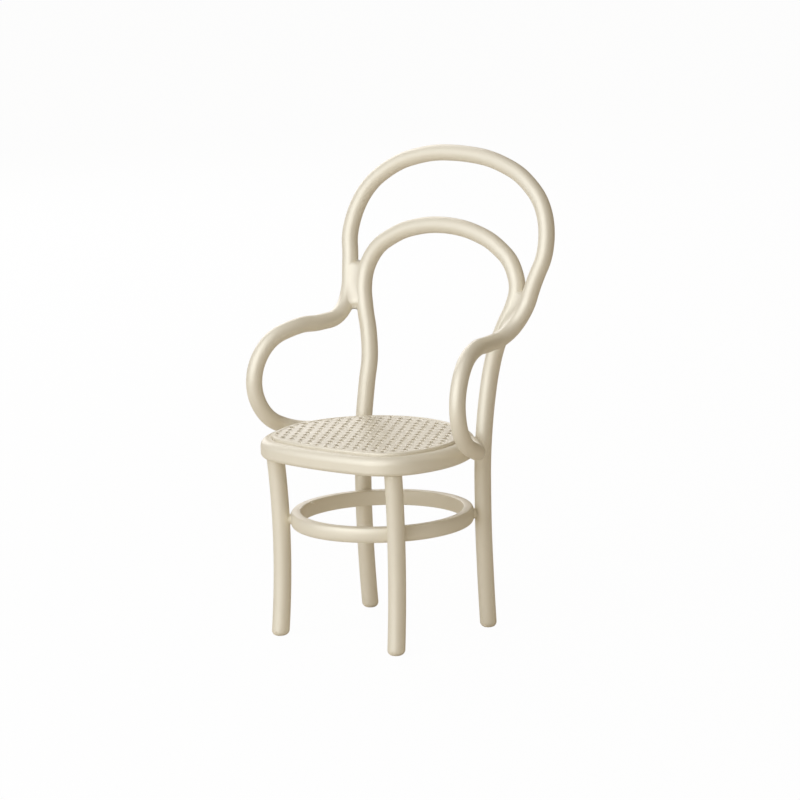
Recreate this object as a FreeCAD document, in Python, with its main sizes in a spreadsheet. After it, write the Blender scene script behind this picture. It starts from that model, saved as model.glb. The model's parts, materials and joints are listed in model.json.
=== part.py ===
import FreeCAD, Part
import math
import os
import Sketcher

# Miniature bentwood-style armchair: two bent hoops, two front legs, a round
# seat with a moulded cane panel, and a leg ring, all held by small pins.
# X runs across the chair, Y from front to back, Z up from the floor.
# Lengths are millimetres and angles are degrees.

V = FreeCAD.Vector
UP = V(0, 0, 1)
RIGHT, LEFT = 1, -1

SIZES = (
    # overall
    ("overall_height", 130.0, "floor to the top of the arm hoop"),
    ("overall_depth", 68.4, "front of the seat to the back of the arm hoop"),
    # rods
    ("back_rod", 4.6, "diameter of the rod of the back hoop and rear legs"),
    ("arm_rod", 4.5, "diameter of the rod of the arm hoop"),
    ("leg_rod", 4.9, "diameter of a front leg"),
    ("foot_round", 1.5, "rounding of a foot's edge"),
    # seat outline
    ("seat_height", 55.3, "floor to the top of the seat rim"),
    ("seat_radius", 29.8, "radius of the round back and sides of the seat"),
    ("seat_corner_radius", 15.0, "radius of a front corner"),
    ("seat_front_radius", 100.0, "radius of the bowed front edge"),
    ("seat_depth", 51.8, "front edge to rear edge of the seat"),
    # seat rim
    ("rim_thickness", 5.1, "height of the rim"),
    ("rim_border", 3.2, "width of the rim's top outside the panel"),
    ("rim_width", 8.2, "width of the rim under the panel"),
    ("recess_depth", 1.3, "depth of the recess that holds the panel"),
    ("rim_round", 1.9, "rounding of the rim's outer edges"),
    # cane panel
    ("panel_clearance", 0.1, "gap round the panel in its recess"),
    ("web_thickness", 1.5, "thickness of the cane web"),
    ("bead_width", 1.2, "width of the raised bead round the web"),
    ("bead_height", 2.1, "height of the bead from the recess floor"),
    ("bead_round", 0.35, "rounding of the bead's top edges"),
    ("cane_pitch", 3.25, "centre to centre of neighbouring cane holes"),
    ("cane_hole", 1.7, "width of a cane hole across its flats"),
    ("cane_margin", 0.1, "least web left between a hole and the bead"),
    # gaps and pins
    ("joint_gap", 0.25, "gap between two pieces that a pin joins"),
    ("ring_gap", 0.15, "gap between the leg ring and a leg"),
    ("pin_clearance", 0.05, "gap round a pin in its bore"),
    ("pin_bite", 1.3, "depth of a pin in each of its two pieces"),
    ("ring_pin", 2.6, "diameter of a leg ring pin"),
    ("seat_pin", 2.0, "diameter of a pin from the rim to a rear leg"),
    ("hoop_pin", 1.8, "diameter of a pin between the hoops"),
    ("arm_pin", 1.8, "diameter of a pin from an arm's end into the rim"),
    # leg ring
    ("ring_radius", 25.3, "outer radius of the leg ring"),
    ("ring_width", 2.9, "radial width of the leg ring"),
    ("ring_thickness", 4.2, "height of the leg ring"),
    ("ring_height", 32.4, "floor to the middle of the leg ring"),
    ("ring_behind", 5.6, "ring's centre behind the seat's centre"),
    ("ring_round", 1.3, "rounding of the ring's outer edges"),
    ("ring_inner_round", 0.4, "rounding of the ring's inner edges"),
    # front legs
    ("front_leg_angle", 42.0, "turn of a front leg round the ring, from X"),
    ("front_leg_inset", 3.9, "leg's axis inside the seat's corner edge"),
    ("front_corner_turn", 47.0, "turn of the leg round the corner, from X"),
    ("front_foot_across", 20.9, "front foot's axis from the middle"),
    ("front_foot_ahead", 14.8, "front foot's axis ahead of the seat's centre"),
    ("spigot_diameter", 3.2, "diameter of a front leg's spigot"),
    ("spigot_length", 2.5, "length of a front leg's spigot"),
    # rear legs and back hoop
    ("rear_leg_angle", 38.8, "turn of a rear leg round the ring, from X"),
    ("rear_seat_turn", 48.0, "turn of a rear leg round the seat, from X"),
    ("rear_foot_across", 21.4, "rear foot's axis from the middle"),
    ("rear_foot_behind", 24.2, "rear foot's axis behind the seat's centre"),
    ("meet_height", 89.5, "floor to where the two hoops meet"),
    ("meet_across", 26.9, "back hoop's axis from the middle, there"),
    ("meet_behind", 32.1, "back hoop's axis behind the seat's centre, there"),
    ("meet_turn", 13.0, "turn of the line between the hoops, towards front"),
    ("meet_drop", 10.0, "fall of the line between the hoops"),
    ("back_half_width", 27.3, "back hoop's greatest half width"),
    ("back_wide_height", 93.0, "floor to the hoop's widest place"),
    ("back_wide_behind", 33.3, "widest place behind the seat's centre"),
    ("back_top_height", 108.6, "floor to the back hoop's axis at its top"),
    ("back_lean", 13.7, "lean of the back hoop's top from upright"),
    ("back_crown_power", 2.0, "squareness of the back hoop's top, 2 for an ellipse"),
    # arm hoop
    ("arm_half_width", 34.9, "arm hoop's greatest half width"),
    ("arm_wide_height", 104.7, "floor to the hoop's widest place"),
    ("arm_lean", 18.0, "lean of the arm hoop's top from upright"),
    ("arm_crown_power", 2.2, "squareness of the arm hoop's top"),
    ("loop_radius", 14.3, "radius of an arm's front loop, from the side"),
    ("loop_centre_height", 67.45, "floor to the loop's centre"),
    ("loop_centre_behind", 9.8, "loop's centre behind the seat's centre"),
    ("loop_top_across", 31.8, "loop's top from the middle"),
    ("loop_front_across", 36.5, "loop's front from the middle"),
    ("loop_low_across", 33.2, "loop's lowest place from the middle"),
    ("arm_waist", 1.8, "how far an arm draws in behind its loop"),
    ("arm_seat_turn", 25.0, "turn of an arm's end round the seat, from X"),
    ("arm_end_height", 52.9, "floor to the axis of an arm's end"),
    ("arm_pin_bite", 2.0, "depth of an arm's pin in each of its two pieces"),
    # tools that cut
    ("overrun", 2.0, "how far a cutting shape passes the surface"),
)

# Neck of the back hoop, from the seat (0) to where the hoops meet (1):
# share across, share behind, share of the height.
NECK_SHARES = (
    (0.00, 0.24, 0.30),
    (0.03, 0.46, 0.50),
    (0.25, 0.61, 0.68),
    (0.65, 0.78, 0.85),
)
# Crowns of the hoops: share of a quarter turn, from the widest place to the top.
BACK_CROWN_SHARES = (0.28, 0.55, 0.78)
ARM_CROWN_SHARES = (0.0, 0.3, 0.55, 0.78)
# Arm hoop between its widest place (0) and the meeting place (1).
FLANK_SHARES = (0.56, 0.53, 0.55)
# Arm from the meeting place (0) to the top of its loop (1):
# share ahead, share of the fall, share of the waist.
ARM_SHARES = (
    (0.18, 0.64, 0.70),
    (0.37, 0.93, 1.00),
    (0.67, 1.01, 0.80),
)
# Stations of an arm's loop: share of half a turn, from its top to its foot.
LOOP_SHARES = (0.0, 0.25, 0.5, 0.72, 0.91)
# Rear leg's low station: share of the ring's height, share of the flare.
LOW_LEG_SHARES = (0.45, 0.30)

# Ends of an arc, its centre, and the axes, as sketch constraints number them.
START_INDEX, END_INDEX, CENTRE_INDEX = 1, 2, 3
X_AXIS_INDEX, Y_AXIS_INDEX = -1, -2
ORIGIN = (X_AXIS_INDEX, START_INDEX)
TOUCH = 1e-4
PIECES = []

doc = FreeCAD.newDocument("bentwood_armchair")
sheet = doc.addObject("Spreadsheet::Sheet", "sizes")
for row, (alias, value, note) in enumerate(SIZES, 1):
    sheet.set("A%d" % row, note)
    sheet.set("B%d" % row, str(value))
    sheet.setAlias("B%d" % row, alias)
doc.recompute()


def size(alias):
    return float(sheet.get(alias))


def bind(target, **expressions):
    for name, expression in expressions.items():
        target.setExpression(name.replace("__", "."), expression)


def mirrored(point, side):
    return V(side * point.x, point.y, point.z)


def polar(centre, radius, angle, height):
    turn = math.radians(angle)
    return V(centre.x + radius * math.cos(turn), centre.y + radius * math.sin(turn), height)


# Smooth rods


def station_tangents(points):
    """Tangent at each point of the circle through it and its neighbours."""
    steps = [b - a for a, b in zip(points, points[1:])]
    inner = []
    for before, after in zip(steps, steps[1:]):
        turn = before / before.Length ** 2 + after / after.Length ** 2
        inner.append(turn.normalize())
    first = end_tangent(steps[0], inner[0])
    last = end_tangent(steps[-1], inner[-1])
    return [first] + inner + [last]


def end_tangent(step, neighbour):
    """Tangent that lets one arc run from the neighbour to the end."""
    along = V(step).normalize()
    return (along * (2 * along.dot(neighbour)) - neighbour).normalize()


def arc_middle(start, tangent, end):
    """Middle of the arc that leaves start along tangent and reaches end."""
    chord = end - start
    half_way = (tangent + V(chord).normalize()).normalize()
    return start + half_way * (chord.Length ** 2 / (2 * half_way.dot(chord)))


def biarc_edges(start, leaving, end, arriving):
    """Two arcs that share a tangent where they meet, from start to end."""
    chord = end - start
    both = leaving + arriving
    bend = 2 * (1 - leaving.dot(arriving))
    pull = 2 * chord.dot(both)
    reach = 2 * chord.Length ** 2 / (pull + math.sqrt(pull ** 2 + 4 * bend * chord.Length ** 2))
    middle = (start + leaving * reach + end - arriving * reach) / 2
    first = arc_middle(start, leaving, middle)
    second = arc_middle(end, arriving * -1, middle)
    return [Part.Arc(start, first, middle).toShape(), Part.Arc(middle, second, end).toShape()]


def smooth_wire(points):
    """One unbroken wire of tangent arcs through the points."""
    tangents = station_tangents(points)
    edges = []
    for i in range(len(points) - 1):
        edges += biarc_edges(points[i], tangents[i], points[i + 1], tangents[i + 1])
    return Part.Wire(edges), tangents


def rod(name, points, diameter):
    """A round rod swept along the smooth wire through the points."""
    wire, tangents = smooth_wire(points)
    path = doc.addObject("Part::Feature", name + "_path")
    path.Shape = wire
    section = doc.addObject("Part::Circle", name + "_section")
    bind(section, Radius="sizes.%s / 2" % diameter)
    section.Placement = FreeCAD.Placement(points[0], FreeCAD.Rotation(UP, tangents[0]))
    sweep = doc.addObject("Part::Sweep", name + "_rod")
    sweep.Sections = [section]
    sweep.Spine = (path, ["Edge%d" % (i + 1) for i in range(len(wire.Edges))])
    sweep.Solid = True
    sweep.Frenet = False
    doc.recompute()
    return sweep


# Seat outline: one round back, two corners and a bowed front, all tangent


def seat_front():
    return -size("overall_depth") / 2


def seat_centre():
    """Centre of the seat's round back."""
    return V(0, seat_front() + size("seat_depth") - size("seat_radius"), 0)


def front_arc_centre():
    return V(0, seat_front() + size("seat_front_radius"), 0)


def corner_centre():
    """Centre of the right front corner: the corner touches back and front."""
    inner = size("seat_radius") - size("seat_corner_radius")
    outer = size("seat_front_radius") - size("seat_corner_radius")
    spread = front_arc_centre().y - seat_centre().y
    along = (inner ** 2 - outer ** 2 + spread ** 2) / (2 * spread)
    return V(math.sqrt(inner ** 2 - along ** 2), seat_centre().y + along, 0)


def seat_arcs(inset):
    """The outline's arcs: centre, radius, first and last angle."""
    corner = corner_centre()
    back, front = seat_centre(), front_arc_centre()
    to_back = math.atan2(corner.y - back.y, corner.x - back.x)
    to_front = math.atan2(corner.y - front.y, corner.x - front.x)
    left = V(-corner.x, corner.y, 0)
    small = size("seat_corner_radius") - inset
    return (
        (back, size("seat_radius") - inset, to_back, math.pi - to_back),
        (left, small, math.pi - to_back, math.pi - to_front),
        (front, size("seat_front_radius") - inset, -math.pi - to_front, to_front),
        (corner, small, to_front, to_back),
    )


def outline_wire(inset, height):
    edges = []
    for centre, radius, first, last in seat_arcs(inset):
        circle = Part.Circle(V(centre.x, centre.y, height), UP, radius)
        edges.append(Part.ArcOfCircle(circle, first, last).toShape())
    return Part.Wire(Part.__sortEdges__(edges))


def draw_outline(sketch, *inset_aliases):
    """Draw the seat outline, drawn in by the sum of the named insets."""
    inset = sum(size(alias) for alias in inset_aliases)
    minus = "".join(" - sizes." + alias for alias in inset_aliases)
    arcs = seat_arcs(inset)
    back, left, front, right = [sketch.GeometryCount + i for i in range(len(arcs))]
    for centre, radius, start, end in arcs:
        circle = Part.Circle(V(centre.x, centre.y, 0), UP, radius)
        sketch.addGeometry(Part.ArcOfCircle(circle, start, end))
    for here, after in ((back, left), (left, front), (front, right), (right, back)):
        sketch.addConstraint(Sketcher.Constraint("Tangent", here, END_INDEX, after, START_INDEX))
    sketch.addConstraint(Sketcher.Constraint("Equal", left, right))
    radii = ((back, "seat_radius"), (left, "seat_corner_radius"), (front, "seat_front_radius"))
    for arc, alias in radii:
        hold(sketch, "radius_%d" % arc, "sizes.%s%s" % (alias, minus), "Radius", arc, size(alias) - inset)
    places = (
        (back, seat_centre().y, "seat_depth - sizes.seat_radius"),
        (front, front_arc_centre().y, "seat_front_radius"),
    )
    for arc, place, rest in places:
        sketch.addConstraint(Sketcher.Constraint("PointOnObject", arc, CENTRE_INDEX, Y_AXIS_INDEX))
        expression = "-sizes.overall_depth / 2 + sizes." + rest
        hold(sketch, "place_%d" % arc, expression, "DistanceY", *ORIGIN, arc, CENTRE_INDEX, place)


def draw_circle(sketch, centre, radius, expression):
    """Draw a circle at a worked-out place, with its radius bound to the sizes."""
    circle = sketch.addGeometry(Part.Circle(V(centre.x, centre.y, 0), UP, radius))
    for way, place in (("DistanceX", centre.x), ("DistanceY", centre.y)):
        sketch.addConstraint(Sketcher.Constraint(way, *ORIGIN, circle, CENTRE_INDEX, place))
    hold(sketch, "radius_%d" % circle, expression, "Radius", circle, radius)


def hold(sketch, name, expression, *constraint):
    """Add a constraint, name it and bind it to the sizes."""
    at = sketch.addConstraint(Sketcher.Constraint(*constraint))
    sketch.renameConstraint(at, name)
    sketch.setExpression("Constraints." + name, expression)


def new_body(name, height):
    """An empty body whose own XY plane lies at a height."""
    body = doc.addObject("PartDesign::Body", name)
    bind(body, Placement__Base__z=height)
    return body


def new_sketch(body, name, height="0"):
    """A sketch on the body's own XY plane, raised by an expression."""
    sketch = body.newObject("Sketcher::SketchObject", name)
    planes = [plane for plane in body.Origin.OriginFeatures if plane.Role == "XY_Plane"]
    sketch.AttachmentSupport = [(planes[0], "")]
    sketch.MapMode = "FlatFace"
    bind(sketch, AttachmentOffset__Base__z=height)
    return sketch


def pad(body, name, sketch, length):
    feature = body.newObject("PartDesign::Pad", name)
    feature.Profile = sketch
    bind(feature, Length=length)
    doc.recompute()
    return feature


def pocket(body, name, sketch, length, upwards=False):
    """Cut a pocket, and make sure that it takes something away."""
    before = body.Shape.Volume
    feature = body.newObject("PartDesign::Pocket", name)
    feature.Profile = sketch
    feature.Reversed = upwards
    bind(feature, Length=length)
    doc.recompute()
    if not body.Shape.Volume < before:
        raise ValueError(name + " cuts nothing")
    return feature


def edge_names(shape, wanted):
    return ["Edge%d" % i for i, edge in enumerate(shape.Edges, 1) if wanted(edge)]


def round_edges(body, name, base, wanted, radius):
    feature = body.newObject("PartDesign::Fillet", name)
    feature.Base = (base, edge_names(base.Shape, wanted))
    bind(feature, Radius=radius)
    doc.recompute()
    return feature


def is_level(edge):
    return edge.BoundBox.ZLength < TOUCH


def cut(name, base, tool):
    """Cut a tool from a base, and make sure that it takes something away."""
    feature = doc.addObject("Part::Cut", name)
    feature.Base = base
    feature.Tool = tool
    doc.recompute()
    if not feature.Shape.Volume < base.Shape.Volume:
        raise ValueError(name + " cuts nothing")
    return feature


def joined(name, *objects):
    feature = doc.addObject("Part::MultiFuse", name)
    feature.Shapes = list(objects)
    doc.recompute()
    return feature


def grouped(name, objects):
    """Several cutting shapes as one tool."""
    feature = doc.addObject("Part::Compound", name)
    feature.Links = objects
    doc.recompute()
    return feature


def slab(name, low, high):
    """A block wider than the chair, between two heights."""
    block = doc.addObject("Part::Box", name)
    bind(block, Length="sizes.overall_depth * 2", Width="sizes.overall_depth * 2")
    bind(block, Height="(%s) - (%s)" % (high, low), Placement__Base__z=low)
    bind(block, Placement__Base__x="-sizes.overall_depth", Placement__Base__y="-sizes.overall_depth")
    return block


def rounded_feet(name, rod_object):
    """Round the lower edges of a rod that was cut off level with the floor."""
    feature = doc.addObject("Part::Fillet", name)
    feature.Base = rod_object
    radius = size("foot_round")
    low = [i for i, edge in enumerate(rod_object.Shape.Edges, 1) if edge.BoundBox.ZMax < TOUCH]
    feature.Edges = [(i, radius, radius) for i in low]
    doc.recompute()
    return feature


def on_axis(name, middle, direction, radius, half_length):
    """A cylinder whose middle lies at a point, along a direction."""
    cylinder = doc.addObject("Part::Cylinder", name)
    bind(cylinder, Radius=radius, Height="(%s) * 2" % half_length)
    doc.recompute()
    start = middle - direction * (cylinder.Height.Value / 2)
    cylinder.Placement = FreeCAD.Placement(start, FreeCAD.Rotation(UP, direction))
    return cylinder


def pin(name, middle, direction, diameter, gap, bite="pin_bite"):
    """A pin across a gap, and the bore that it needs in both its pieces."""
    half = "sizes.%s / 2 + sizes.%s" % (gap, bite)
    body = on_axis(name + "_body", middle, direction, "sizes.%s / 2" % diameter, half)
    wide = "sizes.%s / 2 + sizes.pin_clearance" % diameter
    bore = on_axis(name + "_bore", middle, direction, wide, half + " + sizes.pin_clearance")
    keep(name, body)
    return bore


def keep(label, piece):
    """Name a finished piece and list it among the chair's sub-parts."""
    piece.Label = label
    PIECES.append(piece)


# Places that the pieces share


def behind_seat(alias):
    """Place along Y of what lies a named distance behind the seat's centre."""
    return seat_centre().y + size(alias)


RIM_LOW = size("seat_height") - size("rim_thickness")
RIM_MIDDLE = size("seat_height") - size("rim_thickness") / 2
RIM_LOW_EXPRESSION = "sizes.seat_height - sizes.rim_thickness"
RING_CENTRE = V(0, behind_seat("ring_behind"), 0)


def front_leg_top():
    reach = size("seat_corner_radius") - size("front_leg_inset")
    return polar(corner_centre(), reach, -size("front_corner_turn"), RIM_LOW)


def front_leg_at_ring():
    reach = size("ring_radius") + size("ring_gap") + size("leg_rod") / 2
    return polar(RING_CENTRE, reach, -size("front_leg_angle"), size("ring_height"))


def rear_leg_at_ring():
    reach = size("ring_radius") + size("ring_gap") + size("back_rod") / 2
    return polar(RING_CENTRE, reach, size("rear_leg_angle"), size("ring_height"))


def rear_leg_at_seat():
    reach = size("seat_radius") + size("joint_gap") + size("back_rod") / 2
    return polar(seat_centre(), reach, size("rear_seat_turn"), RIM_MIDDLE)


def meeting_place():
    """Back hoop's axis where the arm hoop lies beside it."""
    return V(size("meet_across"), behind_seat("meet_behind"), size("meet_height"))


def meeting_direction():
    """Direction from the back hoop's axis to the arm hoop's, there."""
    turn, drop = math.radians(size("meet_turn")), math.radians(size("meet_drop"))
    level = math.cos(drop)
    return V(math.cos(turn) * level, -math.sin(turn) * level, -math.sin(drop))


def arm_at_meeting():
    reach = (size("back_rod") + size("arm_rod")) / 2 + size("joint_gap")
    return meeting_place() + meeting_direction() * reach


def crown(wide, top, power, shares):
    """Stations of a hoop's crown from its top down, on a superellipse.

    The crown runs from its widest place to its top. Across and up follow
    the cosine and sine of a quarter turn, each to the power 2 / power.
    """
    points = [top]
    for share in sorted(shares, reverse=True):
        turn = math.radians(90 * share)
        across = math.cos(turn) ** (2 / power)
        up = math.sin(turn) ** (2 / power)
        behind = wide.y + (top.y - wide.y) * up
        points.append(V(wide.x * across, behind, wide.z + (top.z - wide.z) * up))
    return points


def between(first, last, across, behind, up):
    """The point at three shares of the way from first to last."""
    x = first.x + (last.x - first.x) * across
    y = first.y + (last.y - first.y) * behind
    return V(x, y, first.z + (last.z - first.z) * up)


def both_sides(right_half):
    """A route from the left end over the top to the right end."""
    return [mirrored(point, LEFT) for point in reversed(right_half[1:])] + right_half


def back_route():
    """Right half of the back hoop and its rear leg, from the top to the foot."""
    wide = V(size("back_half_width"), behind_seat("back_wide_behind"), size("back_wide_height"))
    rise = size("back_top_height") - wide.z
    top = V(0, wide.y + rise * math.tan(math.radians(size("back_lean"))), size("back_top_height"))
    meet, seat, ring = meeting_place(), rear_leg_at_seat(), rear_leg_at_ring()
    foot = V(size("rear_foot_across"), behind_seat("rear_foot_behind"), 0)
    up, flare = LOW_LEG_SHARES
    neck = [between(seat, meet, *shares) for shares in reversed(NECK_SHARES)]
    low = between(ring, foot, flare, flare, 1 - up)
    arch = crown(wide, top, size("back_crown_power"), BACK_CROWN_SHARES)
    return arch + [wide, meet] + neck + [seat, ring, low, foot]


def loop_station(share):
    """A point of the right arm's loop: a circle from the side, splayed outwards."""
    turn = math.pi * share
    behind = behind_seat("loop_centre_behind") - size("loop_radius") * math.sin(turn)
    side = size("loop_top_across") if share < 0.5 else size("loop_low_across")
    across = side + (size("loop_front_across") - side) * math.sin(turn)
    return V(across, behind, size("loop_centre_height") + size("loop_radius") * math.cos(turn))


def arm_route():
    """Right half of the arm hoop, from its top round the arm to the seat."""
    top_height = size("overall_height") - size("arm_rod") / 2
    top = V(0, (size("overall_depth") - size("arm_rod")) / 2, top_height)
    fall = top.z - size("arm_wide_height")
    behind = top.y - fall * math.tan(math.radians(size("arm_lean")))
    wide = V(size("arm_half_width"), behind, size("arm_wide_height"))
    meet, loop_top = arm_at_meeting(), loop_station(0)
    arm = []
    for ahead, drop, waist in ARM_SHARES:
        point = between(meet, loop_top, ahead, ahead, drop)
        arm.append(point - V(size("arm_waist") * waist, 0, 0))
    loop = [loop_station(share) for share in LOOP_SHARES]
    route = crown(wide, top, size("arm_crown_power"), ARM_CROWN_SHARES)
    return route + [between(wide, meet, *FLANK_SHARES), meet] + arm + loop + [arm_end()]


def arm_end():
    """Where the right arm's axis reaches the side of the seat rim."""
    return polar(seat_centre(), size("seat_radius"), size("arm_seat_turn"), size("arm_end_height"))


# Pins, with the bores that their pieces need


def ring_pin(name, side, leg_axis):
    outward = (leg_axis - V(0, RING_CENTRE.y, leg_axis.z)).normalize()
    reach = size("ring_radius") + size("ring_gap") / 2
    middle = V(0, RING_CENTRE.y, leg_axis.z) + outward * reach
    direction = mirrored(outward, side)
    return pin(name, mirrored(middle, side), direction, "ring_pin", "ring_gap")


def seat_pin(name, side):
    turn = size("rear_seat_turn")
    reach = size("seat_radius") + size("joint_gap") / 2
    middle = polar(seat_centre(), reach, turn, RIM_MIDDLE)
    direction = polar(V(0, 0, 0), 1, turn, 0)
    return pin(name, mirrored(middle, side), mirrored(direction, side), "seat_pin", "joint_gap")


def hoop_pin(name, side):
    reach = (size("back_rod") + size("joint_gap")) / 2
    middle = meeting_place() + meeting_direction() * reach
    direction = mirrored(meeting_direction(), side)
    return pin(name, mirrored(middle, side), direction, "hoop_pin", "joint_gap")


def arm_pin(name, side):
    inward = station_tangents(arm_route())[-1]
    middle = mirrored(arm_end(), side)
    return pin(name, middle, mirrored(inward, side), "arm_pin", "joint_gap", "arm_pin_bite")


ring_bores = {}
seat_bores = []
hoop_bores = []
arm_bores = []
for side, hand in ((LEFT, "left"), (RIGHT, "right")):
    ring_bores["front_" + hand] = ring_pin("ring_pin_front_" + hand, side, front_leg_at_ring())
    ring_bores["rear_" + hand] = ring_pin("ring_pin_rear_" + hand, side, rear_leg_at_ring())
    seat_bores.append(seat_pin("seat_pin_" + hand, side))
    hoop_bores.append(hoop_pin("hoop_pin_" + hand, side))
    arm_bores.append(arm_pin("arm_pin_" + hand, side))

# Back frame: one rod bent into the back hoop and both rear legs

floor_block = slab("floor_block", "-sizes.overall_height", "0")
back_points = both_sides(back_route())
foot_down = station_tangents(back_points)[-1] * size("overrun")
back_points = [mirrored(back_points[-1] + foot_down, LEFT)] + back_points
back_points.append(back_route()[-1] + foot_down)
back_rod = rod("back_frame", back_points, "back_rod")
back_cut = cut("back_frame_level", back_rod, floor_block)
back_feet = rounded_feet("back_frame_feet", back_cut)
rear_bores = [ring_bores["rear_left"], ring_bores["rear_right"]]
back_tool = grouped("back_frame_bores", rear_bores + seat_bores + hoop_bores)
keep("back_frame", cut("back_frame_bored", back_feet, back_tool))

# Arm hoop: one rod bent into the outer hoop and both arms

seat_guard_face = doc.addObject("Part::Feature", "seat_guard_face")
seat_guard_face.Shape = Part.Face(outline_wire(-size("joint_gap"), RIM_LOW - size("overrun")))
seat_guard = doc.addObject("Part::Extrusion", "seat_guard")
seat_guard.Base = seat_guard_face
seat_guard.DirMode = "Custom"
seat_guard.Dir = UP
seat_guard.Solid = True
bind(seat_guard, LengthFwd="sizes.rim_thickness + sizes.overrun * 2")
arm_points = both_sides(arm_route())
arm_inward = station_tangents(arm_points)[-1] * size("overrun")
arm_points = [mirrored(arm_points[-1] + arm_inward, LEFT)] + arm_points
arm_points.append(arm_route()[-1] + arm_inward)
arm_rod = rod("arm_hoop", arm_points, "arm_rod")
arm_coped = cut("arm_hoop_coped", arm_rod, seat_guard)
arm_tool = grouped("arm_hoop_bores", hoop_bores + arm_bores)
keep("arm_hoop", cut("arm_hoop_bored", arm_coped, arm_tool))

# Front legs: bowed rods with a turned spigot that fits the rim

leg_span = slab("leg_span", "0", RIM_LOW_EXPRESSION)
for side, hand in ((LEFT, "left"), (RIGHT, "right")):
    name = "front_leg_" + hand
    foot = V(size("front_foot_across"), seat_centre().y - size("front_foot_ahead"), 0)
    route = [front_leg_top(), front_leg_at_ring(), foot]
    tangents = station_tangents(route)
    route = [route[0] - tangents[0] * size("overrun")] + route
    route.append(route[-1] + tangents[-1] * size("overrun"))
    leg_rod = rod(name, [mirrored(point, side) for point in route], "leg_rod")
    shank = doc.addObject("Part::Common", name + "_shank")
    shank.Base = leg_rod
    shank.Tool = leg_span
    doc.recompute()
    spigot = doc.addObject("Part::Cylinder", name + "_spigot")
    bind(spigot, Radius="sizes.spigot_diameter / 2", Height="sizes.spigot_length + sizes.overrun")
    top = mirrored(front_leg_top(), side)
    spigot.Placement = FreeCAD.Placement(top - UP * size("overrun"), FreeCAD.Rotation())
    foot_piece = rounded_feet(name + "_foot", shank)
    whole = joined(name + "_whole", foot_piece, spigot)
    keep(name, cut(name + "_bored", whole, ring_bores["front_" + hand]))

# Seat rim: recessed on top for the panel, open below it, drilled for the legs

rim = new_body("seat_rim_body", RIM_LOW_EXPRESSION)
rim_sketch = new_sketch(rim, "rim_outline")
draw_outline(rim_sketch)
rim_pad = pad(rim, "rim_pad", rim_sketch, "sizes.rim_thickness")
round_edges(rim, "rim_rounding", rim_pad, is_level, "sizes.rim_round")
recess_sketch = new_sketch(rim, "recess_outline", "sizes.rim_thickness")
draw_outline(recess_sketch, "rim_border")
pocket(rim, "panel_recess", recess_sketch, "sizes.recess_depth")
opening_sketch = new_sketch(rim, "opening_outline", "sizes.rim_thickness")
draw_outline(opening_sketch, "rim_width")
pocket(rim, "seat_opening", opening_sketch, "sizes.rim_thickness + sizes.overrun")
socket_sketch = new_sketch(rim, "socket_circles")
for side in (LEFT, RIGHT):
    radius = size("spigot_diameter") / 2 + size("pin_clearance")
    place = mirrored(front_leg_top(), side)
    draw_circle(socket_sketch, place, radius, "sizes.spigot_diameter / 2 + sizes.pin_clearance")
depth = "sizes.spigot_length + sizes.pin_clearance"
pocket(rim, "leg_sockets", socket_sketch, depth, upwards=True)
rim_tool = grouped("seat_rim_bores", seat_bores + arm_bores)
keep("seat_rim", cut("seat_rim_bored", rim, rim_tool))

# Cane panel: a thin web with a six-way lattice of holes, inside a raised bead

HOLE_SIDES = 6


def cane_hole_centres(guard):
    """Centres of the holes, on a lattice of equal triangles inside the guard.

    A row lies the height of such a triangle behind the last one, and
    every other row is shifted by half a pitch.
    """
    pitch = size("cane_pitch")
    row_step = math.sqrt(pitch ** 2 - (pitch / 2) ** 2)
    rows = math.ceil(size("seat_radius") * 2 / row_step)
    columns = math.ceil(size("seat_radius") / pitch)
    for row in range(-rows, rows + 1):
        shift = pitch / 2 if row % 2 else 0
        for column in range(-columns, columns + 1):
            centre = V(column * pitch + shift, seat_centre().y + row * row_step, guard.BoundBox.ZMin)
            if guard.isInside(centre, TOUCH, True):
                yield centre


def corner_reach():
    """From the middle of a cane hole to its corners."""
    return size("cane_hole") / 2 / math.cos(math.pi / HOLE_SIDES)


def cane_hole_wire(centre):
    """A closed hexagon with two corners before and behind its centre."""
    turn = 360 / HOLE_SIDES
    angles = [turn * (i + 0.5) for i in range(HOLE_SIDES + 1)]
    return Part.makePolygon([polar(centre, corner_reach(), angle, centre.z) for angle in angles])


panel_low = size("seat_height") - size("recess_depth")
panel_inset = size("rim_border") + size("panel_clearance")
inside_bead = panel_inset + size("bead_width") + size("cane_margin") + corner_reach()
hole_guard = Part.Face(outline_wire(inside_bead, panel_low))
centres = list(cane_hole_centres(hole_guard))
web_outline = outline_wire(panel_inset + size("bead_width") / 2, panel_low)
holes = [cane_hole_wire(centre) for centre in centres]
web_face = doc.addObject("Part::Feature", "cane_web_face")
web_face.Shape = Part.makeFace([web_outline] + holes, "Part::FaceMakerBullseye")
web = doc.addObject("Part::Extrusion", "cane_web")
web.Base = web_face
web.DirMode = "Custom"
web.Dir = UP
web.Solid = True
bind(web, LengthFwd="sizes.web_thickness")
bead = new_body("cane_bead", "sizes.seat_height - sizes.recess_depth")
bead_sketch = new_sketch(bead, "bead_outline")
draw_outline(bead_sketch, "rim_border", "panel_clearance")
bead_pad = pad(bead, "bead_pad", bead_sketch, "sizes.bead_height")
bead_inner = new_sketch(bead, "bead_inner_outline", "sizes.bead_height")
draw_outline(bead_inner, "rim_border", "panel_clearance", "bead_width")
bead_ring = pocket(bead, "bead_opening", bead_inner, "sizes.bead_height + sizes.overrun")


def is_bead_top(edge):
    return is_level(edge) and edge.BoundBox.ZMin > size("web_thickness")


round_edges(bead, "bead_rounding", bead_ring, is_bead_top, "sizes.bead_round")
keep("cane_panel", joined("cane_panel_whole", bead, web))
print("cane holes:", len(centres))

# Leg ring: a band with a rounded outside and a flat inside

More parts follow.
